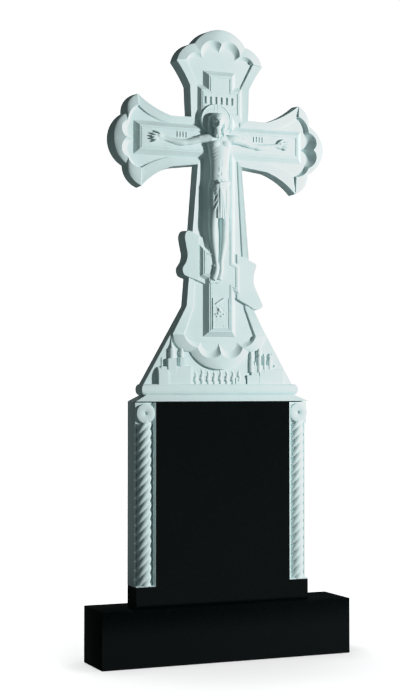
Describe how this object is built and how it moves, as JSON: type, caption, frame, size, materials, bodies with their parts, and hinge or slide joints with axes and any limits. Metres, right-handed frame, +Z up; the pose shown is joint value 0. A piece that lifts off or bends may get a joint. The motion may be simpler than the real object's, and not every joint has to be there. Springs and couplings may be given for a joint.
{
  "type": "cross headstone",
  "caption": "Upright grave marker: a carved white marble cross with a figure in relief, on a black granite tablet with twisted corner columns and a plain plinth.",
  "frame": {"origin": "middle of the plinth's underside, on the ground", "axes": "+X across the front, to the viewer's right; +Y from the carved front to the plain back; +Z up"},
  "size_m": [0.72, 0.146, 1.702],
  "materials": {
    "granite": "polished black granite",
    "marble": "honed white marble"
  },
  "bodies": {
    "root": {"plinth": "granite", "tablet": "granite", "column_left": "marble", "column_right": "marble", "cross": "marble"}
  },
  "joints": []
}
